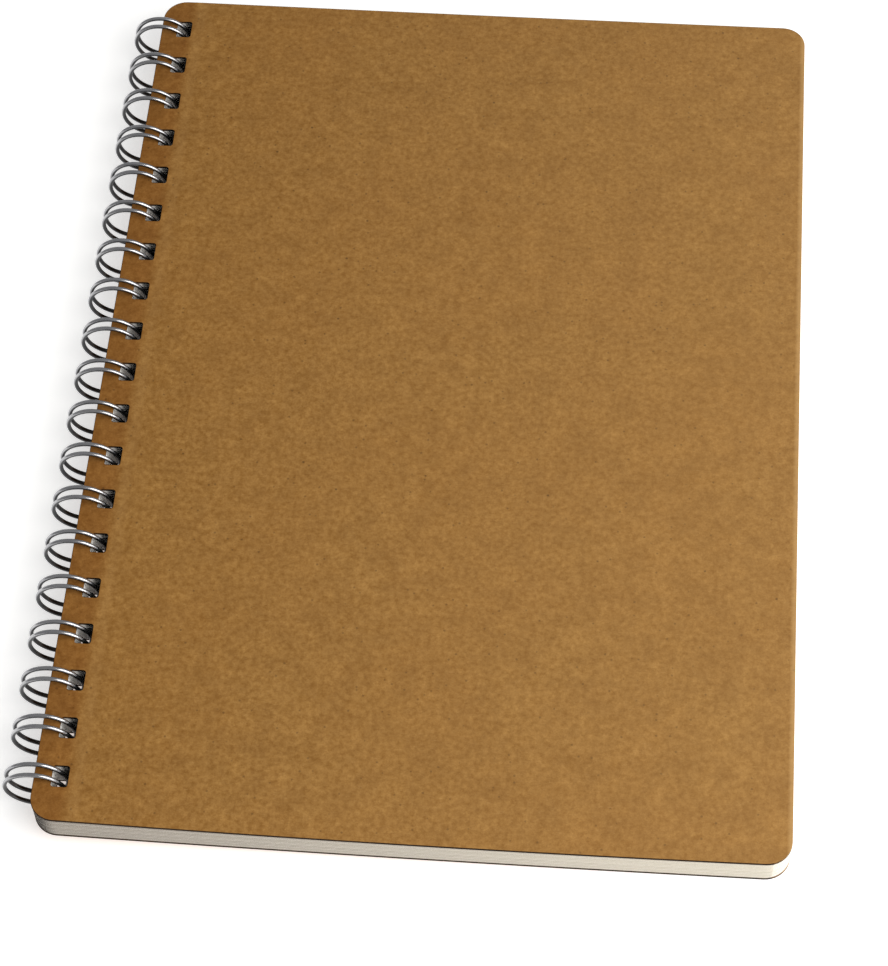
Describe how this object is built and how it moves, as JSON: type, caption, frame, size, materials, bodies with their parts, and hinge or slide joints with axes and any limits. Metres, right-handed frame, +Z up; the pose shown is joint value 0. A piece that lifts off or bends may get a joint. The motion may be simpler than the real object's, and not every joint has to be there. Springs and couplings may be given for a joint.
{
  "type": "sketchbook",
  "caption": "Portrait sketchbook with plain kraft board covers and blank sheets, bound down its long side by a twin-loop steel wire.",
  "frame": {"origin": "middle of the footprint, on the surface that the closed book lies on", "axes": "+X from the spine to the fore-edge, +Y along the spine from the foot to the head, +Z up through the front cover"},
  "size_m": [0.184, 0.25, 0.0157],
  "materials": {
    "kraft_board": "uncoated kraft board",
    "drawing_paper": "uncoated drawing paper",
    "binding_wire": "bright plated steel wire"
  },
  "bodies": {
    "back_cover": {"back_cover": "kraft_board"},
    "binding": {"twin_loop_wire": "binding_wire"},
    "leaves_41_50": {"sheet_41": "drawing_paper", "sheet_42": "drawing_paper", "sheet_43": "drawing_paper", "sheet_44": "drawing_paper", "sheet_45": "drawing_paper", "sheet_46": "drawing_paper", "sheet_47": "drawing_paper", "sheet_48": "drawing_paper", "sheet_49": "drawing_paper", "sheet_50": "drawing_paper"},
    "leaves_31_40": {"sheet_31": "drawing_paper", "sheet_32": "drawing_paper", "sheet_33": "drawing_paper", "sheet_34": "drawing_paper", "sheet_35": "drawing_paper", "sheet_36": "drawing_paper", "sheet_37": "drawing_paper", "sheet_38": "drawing_paper", "sheet_39": "drawing_paper", "sheet_40": "drawing_paper"},
    "leaves_21_30": {"sheet_21": "drawing_paper", "sheet_22": "drawing_paper", "sheet_23": "drawing_paper", "sheet_24": "drawing_paper", "sheet_25": "drawing_paper", "sheet_26": "drawing_paper", "sheet_27": "drawing_paper", "sheet_28": "drawing_paper", "sheet_29": "drawing_paper", "sheet_30": "drawing_paper"},
    "leaves_11_20": {"sheet_11": "drawing_paper", "sheet_12": "drawing_paper", "sheet_13": "drawing_paper", "sheet_14": "drawing_paper", "sheet_15": "drawing_paper", "sheet_16": "drawing_paper", "sheet_17": "drawing_paper", "sheet_18": "drawing_paper", "sheet_19": "drawing_paper", "sheet_20": "drawing_paper"},
    "leaves_04_10": {"sheet_04": "drawing_paper", "sheet_05": "drawing_paper", "sheet_06": "drawing_paper", "sheet_07": "drawing_paper", "sheet_08": "drawing_paper", "sheet_09": "drawing_paper", "sheet_10": "drawing_paper"},
    "leaf_03": {"sheet_03": "drawing_paper"},
    "leaf_02": {"sheet_02": "drawing_paper"},
    "leaf_01": {"sheet_01": "drawing_paper"},
    "front_cover": {"front_cover": "kraft_board"}
  },
  "joints": [
    {"name": "binding_roll", "type": "hinge", "parent": "back_cover", "child": "binding", "pos_m": [-0.08416, 0, 0.00785], "axis": [0, -1, 0], "range_deg": [-50, 20]},
    {"name": "turn_leaves_41_50", "type": "hinge", "parent": "back_cover", "child": "leaves_41_50", "pos_m": [-0.08416, 0, 0.00785], "axis": [0, -1, 0], "range_deg": [0, 180]},
    {"name": "turn_leaves_31_40", "type": "hinge", "parent": "leaves_41_50", "child": "leaves_31_40", "pos_m": [-0.08416, 0, 0.00785], "axis": [0, -1, 0], "range_deg": [0, 180]},
    {"name": "turn_leaves_21_30", "type": "hinge", "parent": "leaves_31_40", "child": "leaves_21_30", "pos_m": [-0.08416, 0, 0.00785], "axis": [0, -1, 0], "range_deg": [0, 180]},
    {"name": "turn_leaves_11_20", "type": "hinge", "parent": "leaves_21_30", "child": "leaves_11_20", "pos_m": [-0.08416, 0, 0.00785], "axis": [0, -1, 0], "range_deg": [0, 180]},
    {"name": "turn_leaves_04_10", "type": "hinge", "parent": "leaves_11_20", "child": "leaves_04_10", "pos_m": [-0.08416, 0, 0.00785], "axis": [0, -1, 0], "range_deg": [0, 180]},
    {"name": "turn_leaf_03", "type": "hinge", "parent": "leaves_04_10", "child": "leaf_03", "pos_m": [-0.08416, 0, 0.00785], "axis": [0, -1, 0], "range_deg": [0, 180]},
    {"name": "turn_leaf_02", "type": "hinge", "parent": "leaf_03", "child": "leaf_02", "pos_m": [-0.08416, 0, 0.00785], "axis": [0, -1, 0], "range_deg": [0, 180]},
    {"name": "turn_leaf_01", "type": "hinge", "parent": "leaf_02", "child": "leaf_01", "pos_m": [-0.08416, 0, 0.00785], "axis": [0, -1, 0], "range_deg": [0, 180]},
    {"name": "turn_front_cover", "type": "hinge", "parent": "leaf_01", "child": "front_cover", "pos_m": [-0.08416, 0, 0.00785], "axis": [0, -1, 0], "range_deg": [0, 180]}
  ]
}
